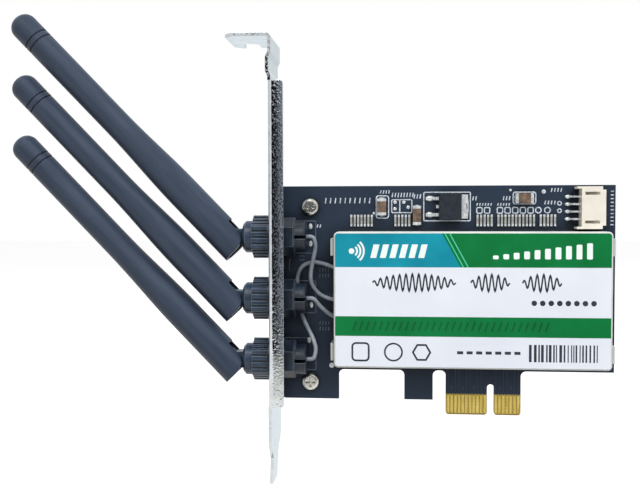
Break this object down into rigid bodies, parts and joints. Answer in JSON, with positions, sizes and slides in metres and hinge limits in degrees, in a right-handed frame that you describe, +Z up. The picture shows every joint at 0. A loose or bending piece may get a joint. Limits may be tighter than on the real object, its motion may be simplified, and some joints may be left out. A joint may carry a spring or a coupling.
{
  "type": "pcie wireless network card",
  "caption": "Full-height wireless network expansion card: black circuit board with keyed edge tongue, steel bracket, labelled cover and hinged whip antennas on swivel elbows.",
  "frame": {"origin": "middle of the edge tongue's key slot, at the tongue's lower edge, half way through the board", "axes": "+X along the card to its free end, +Z up out of the slot, -Y out of the component side"},
  "size_m": [0.1645, 0.0187, 0.1279],
  "materials": {
    "solder_mask": "black solder mask on glass-epoxy, semi-gloss",
    "gold_plate": "gold plate, satin",
    "plated_steel": "nickel-plated steel, satin",
    "cover_plastic": "moulded ivory plastic",
    "label_film": "printed film, semi-gloss",
    "black_plastic": "moulded black epoxy or nylon",
    "standoff_brass": "turned brass",
    "tin_plate": "tin plate and solder, bright",
    "capacitor_ceramic": "brown fired ceramic",
    "header_nylon": "moulded ivory nylon",
    "washer_steel": "blackened steel",
    "jack_plastic": "moulded black plastic",
    "antenna_plastic": "moulded slate-grey plastic, matt",
    "radiator_brass": "drawn brass",
    "cable_jacket": "extruded grey jacket"
  },
  "bodies": {
    "card": {"antenna_jack_1": "jack_plastic", "antenna_jack_2": "jack_plastic", "antenna_jack_3": "jack_plastic", "bracket": "plated_steel", "bracket_screws": "plated_steel", "cable_plugs": "gold_plate", "capacitor_bodies": "capacitor_ceramic", "capacitor_terminals": "tin_plate", "chip_bodies": "black_plastic", "chip_terminals": "tin_plate", "circuit_board": "solder_mask", "coupling_nut_1": "antenna_plastic", "coupling_nut_2": "antenna_plastic", "coupling_nut_3": "antenna_plastic", "cover_label": "label_film", "edge_contacts_back": "gold_plate", "edge_contacts_front": "gold_plate", "header_housing": "header_nylon", "header_pins": "tin_plate", "jack_washers": "washer_steel", "module_board": "solder_mask", "module_chips": "black_plastic", "module_cover": "cover_plastic", "module_screws": "plated_steel", "module_shield": "plated_steel", "module_socket": "black_plastic", "module_standoffs": "standoff_brass", "pigtail_1": "cable_jacket", "pigtail_2": "cable_jacket", "pigtail_3": "cable_jacket", "regulator_body": "black_plastic", "regulator_frame": "tin_plate", "rf_jacks": "gold_plate"},
    "antenna_1_elbow": {"elbow_1": "antenna_plastic"},
    "antenna_1_whip": {"whip_1": "antenna_plastic", "radiator_1": "radiator_brass"},
    "antenna_2_elbow": {"elbow_2": "antenna_plastic"},
    "antenna_2_whip": {"whip_2": "antenna_plastic", "radiator_2": "radiator_brass"},
    "antenna_3_elbow": {"elbow_3": "antenna_plastic"},
    "antenna_3_whip": {"whip_3": "antenna_plastic", "radiator_3": "radiator_brass"}
  },
  "joints": [
    {"name": "antenna_1_swivel", "type": "hinge", "parent": "card", "child": "antenna_1_elbow", "pos_m": [-0.06435, -0.00688, 0.0491], "axis": [1, 0, 0], "range_deg": [-85, 85]},
    {"name": "antenna_1_tilt", "type": "hinge", "parent": "antenna_1_elbow", "child": "antenna_1_whip", "pos_m": [-0.07195, -0.00688, 0.0491], "axis": [0, 1, 0], "range_deg": [-2.5, 39]},
    {"name": "antenna_2_swivel", "type": "hinge", "parent": "card", "child": "antenna_2_elbow", "pos_m": [-0.06435, -0.00688, 0.0324], "axis": [1, 0, 0], "range_deg": [-85, 85]},
    {"name": "antenna_2_tilt", "type": "hinge", "parent": "antenna_2_elbow", "child": "antenna_2_whip", "pos_m": [-0.07195, -0.00688, 0.0324], "axis": [0, 1, 0], "range_deg": [-2.5, 2.5]},
    {"name": "antenna_3_swivel", "type": "hinge", "parent": "card", "child": "antenna_3_elbow", "pos_m": [-0.06435, -0.00688, 0.0158], "axis": [1, 0, 0], "range_deg": [-85, 85]},
    {"name": "antenna_3_tilt", "type": "hinge", "parent": "antenna_3_elbow", "child": "antenna_3_whip", "pos_m": [-0.07195, -0.00688, 0.0158], "axis": [0, 1, 0], "range_deg": [-44, 2.5]}
  ]
}
